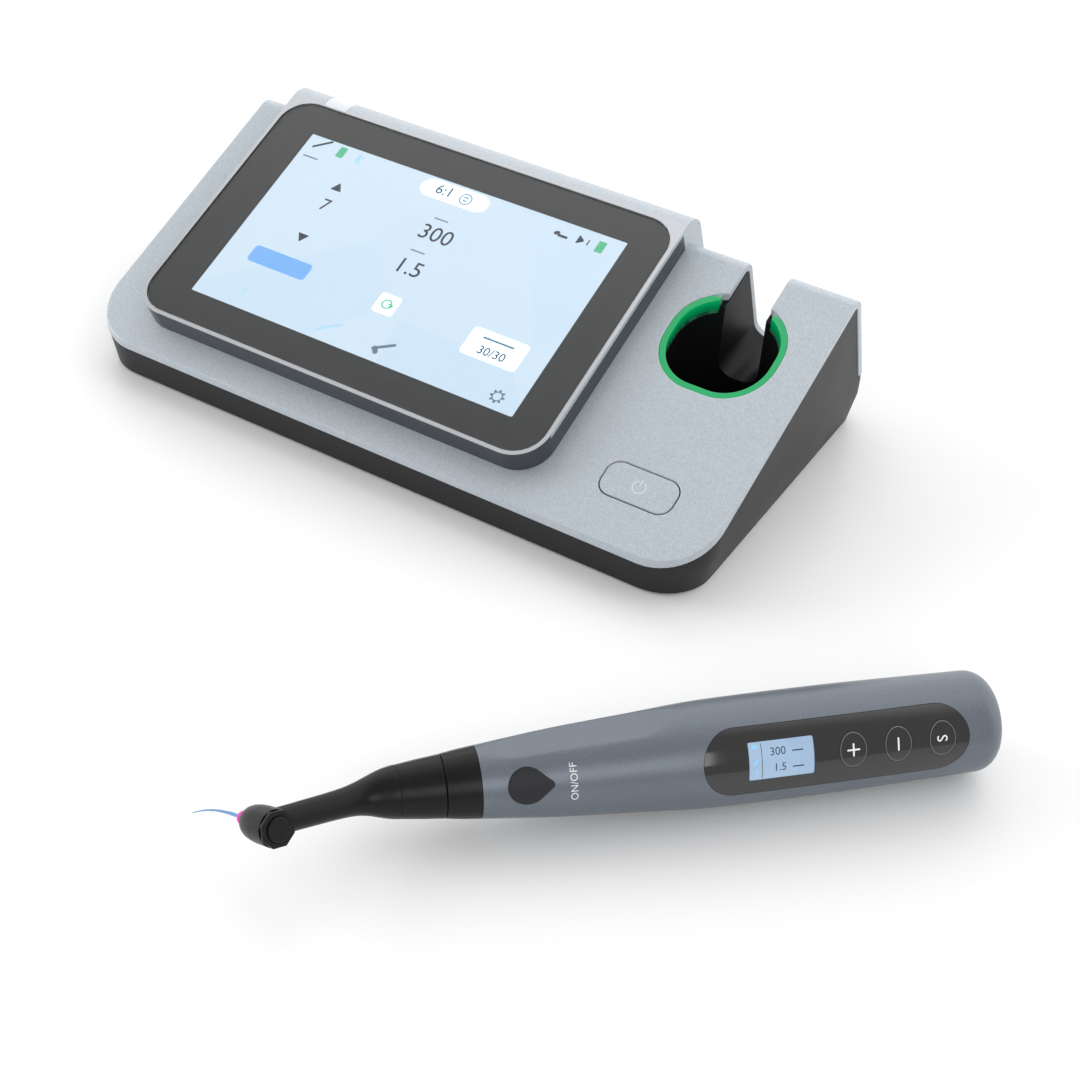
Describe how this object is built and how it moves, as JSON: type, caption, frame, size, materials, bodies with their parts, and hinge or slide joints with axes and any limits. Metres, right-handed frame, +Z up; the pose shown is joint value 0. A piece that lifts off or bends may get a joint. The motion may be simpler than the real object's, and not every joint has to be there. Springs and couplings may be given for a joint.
{
  "type": "endodontic motor",
  "caption": "Root-canal treatment motor: sloping touch-screen console with a lit charging dock, and a cordless handpiece with a bent contra-angle and a fine blue file.",
  "frame": {"origin": "on the table under the middle of the console, at the centre of its grip pad", "axes": "+X along the console to the dock side, +Y from the user to the back, +Z up; the handpiece lies on the table ahead of the console on the right"},
  "size_m": [0.2993, 0.2549, 0.0601],
  "materials": {
    "painted_alloy": "fine satin metallic paint, blue grey",
    "graphite_plastic": "fine spark texture",
    "black_plastic": "matt black moulding",
    "steel_plate": "powder coat",
    "rubber": "matt",
    "screw_steel": "zinc",
    "cover_glass": "gloss, black printed border",
    "display": "lit display",
    "board": "green solder mask",
    "chip": "black",
    "ribbon": "amber film",
    "light_guide": "translucent, lit green",
    "clear_guide": "translucent",
    "gold": "plated",
    "spring_steel": "drawn wire",
    "cell": "shrink sleeve",
    "speaker": "paper cone in a black frame",
    "panel_gloss": "deep gloss black",
    "handle_paint": "satin metallic paint, blue grey",
    "button_plastic": "satin dark grey",
    "black_alloy": "black satin coat",
    "motor_steel": "drawn can",
    "bearing_steel": "ground",
    "gear_steel": "machined",
    "bush_bronze": "sintered",
    "file_blue": "heat-tinted nickel titanium",
    "silicone_pink": "silicone"
  },
  "bodies": {
    "console": {"base_plate": "steel_plate", "grip_pad": "rubber", "base_screws": "screw_steel", "base_tub": "graphite_plastic", "top_cover": "painted_alloy", "screen_tray": "graphite_plastic", "screen_bezel": "painted_alloy", "status_window": "clear_guide", "screen_glass": "cover_glass", "display_panel": "display", "display_board": "board", "display_ribbon": "ribbon", "dock_cup": "black_plastic", "dock_light_ring": "light_guide", "dock_light_board": "board", "contact_block": "black_plastic", "contact_spring_left": "spring_steel", "contact_spring_right": "spring_steel", "main_board": "board", "main_board_chips": "chip", "battery_pack": "cell", "speaker": "speaker", "power_switch": "chip", "power_switch_board": "board", "power_socket": "screw_steel"},
    "power_button": {"power_button": "painted_alloy"},
    "contact_pin_left": {"contact_pin_left": "gold"},
    "contact_pin_right": {"contact_pin_right": "gold"},
    "handpiece": {"handpiece_housing": "handle_paint", "nose_ring": "black_alloy", "panel_lens": "panel_gloss", "key_switches": "chip", "onoff_switch": "chip", "handpiece_display": "display", "handpiece_board": "board", "handpiece_cell": "cell", "cell_cradle": "black_plastic", "charge_contacts": "gold", "motor_can": "motor_steel", "motor_bearings": "bearing_steel"},
    "key_plus": {"key_plus": "panel_gloss"},
    "key_minus": {"key_minus": "panel_gloss"},
    "key_s": {"key_s": "panel_gloss"},
    "onoff_button": {"onoff_button": "button_plastic"},
    "motor_rotor": {"motor_rotor": "gear_steel"},
    "contra_angle": {"contra_sleeve": "black_alloy", "contra_neck": "black_alloy", "reduction_cartridge": "bearing_steel", "neck_bushes": "bush_bronze", "head_bearings": "bearing_steel", "head_cap_ring": "black_alloy"},
    "input_spindle": {"input_spindle": "gear_steel"},
    "drive_shaft": {"drive_shaft": "gear_steel"},
    "neck_shaft": {"neck_shaft": "gear_steel"},
    "head_spindle": {"head_spindle": "gear_steel"},
    "push_cap": {"push_cap": "black_alloy"},
    "file": {"file_shank": "gold", "file_blade": "file_blue"},
    "file_stop": {"file_stop": "silicone_pink"}
  },
  "joints": [
    {"name": "power_button_press", "type": "slide", "parent": "console", "child": "power_button", "axis": [0, 0.3939, -0.9191], "range_m": [0, 0.0008], "stiffness_N_per_m": 900},
    {"name": "contact_pin_left_press", "type": "slide", "parent": "console", "child": "contact_pin_left", "axis": [0, 0, -1], "range_m": [0, 0.0008], "stiffness_N_per_m": 250, "deforming": ["contact_spring_left"]},
    {"name": "contact_pin_right_press", "type": "slide", "parent": "console", "child": "contact_pin_right", "axis": [0, 0, -1], "range_m": [0, 0.0008], "stiffness_N_per_m": 250, "deforming": ["contact_spring_right"]},
    {"name": "handpiece_lift", "type": "slide", "parent": "console", "child": "handpiece", "axis": [0, 0, 1], "range_m": [0, 0.12]},
    {"name": "key_plus_press", "type": "slide", "parent": "handpiece", "child": "key_plus", "axis": [-0.587, 0.6121, -0.5299], "range_m": [0, 0.0003], "stiffness_N_per_m": 1200},
    {"name": "key_minus_press", "type": "slide", "parent": "handpiece", "child": "key_minus", "axis": [-0.587, 0.6121, -0.5299], "range_m": [0, 0.0003], "stiffness_N_per_m": 1200},
    {"name": "key_s_press", "type": "slide", "parent": "handpiece", "child": "key_s", "axis": [-0.587, 0.6121, -0.5299], "range_m": [0, 0.0003], "stiffness_N_per_m": 1200},
    {"name": "onoff_press", "type": "slide", "parent": "handpiece", "child": "onoff_button", "axis": [-0.587, 0.6121, -0.5299], "range_m": [0, 0.0005], "stiffness_N_per_m": 1200},
    {"name": "motor_spin", "type": "hinge", "parent": "handpiece", "child": "motor_rotor", "pos_m": [0.14335, -0.10591, 0.0129], "axis": [-0.7218, -0.6921, 0], "continuous": true},
    {"name": "contra_swivel", "type": "hinge", "parent": "handpiece", "child": "contra_angle", "pos_m": [0.09694, -0.15042, 0.0129], "axis": [-0.7218, -0.6921, 0], "continuous": true},
    {"name": "input_spin", "type": "hinge", "parent": "contra_angle", "child": "input_spindle", "pos_m": [0.0986, -0.14883, 0.0129], "axis": [-0.7218, -0.6921, 0], "continuous": true},
    {"name": "drive_spin", "type": "hinge", "parent": "contra_angle", "child": "drive_shaft", "pos_m": [0.0986, -0.14883, 0.0129], "axis": [-0.7218, -0.6921, 0], "continuous": true},
    {"name": "neck_spin", "type": "hinge", "parent": "contra_angle", "child": "neck_shaft", "pos_m": [0.07969, -0.16696, 0.0129], "axis": [-0.3617, -0.8985, 0.2488], "continuous": true},
    {"name": "head_spin", "type": "hinge", "parent": "contra_angle", "child": "head_spindle", "pos_m": [0.06935, -0.19266, 0.02002], "axis": [-0.8571, 0.2155, -0.4679], "continuous": true},
    {"name": "cap_press", "type": "slide", "parent": "contra_angle", "child": "push_cap", "axis": [-0.8571, 0.2155, -0.4679], "range_m": [0, 0.0006], "stiffness_N_per_m": 1200},
    {"name": "file_pull", "type": "slide", "parent": "head_spindle", "child": "file", "axis": [-0.8571, 0.2155, -0.4679], "range_m": [0, 0.012]},
    {"name": "stop_slide", "type": "slide", "parent": "file", "child": "file_stop", "axis": [-0.8571, 0.2155, -0.4679], "range_m": [0, 0.005]}
  ],
  "couplings": [
    {"joint": "input_spin", "follows": "motor_spin", "ratio": 1},
    {"joint": "drive_spin", "follows": "motor_spin", "ratio": 0.33333},
    {"joint": "neck_spin", "follows": "motor_spin", "ratio": 0.33333},
    {"joint": "head_spin", "follows": "motor_spin", "ratio": 0.16667}
  ]
}
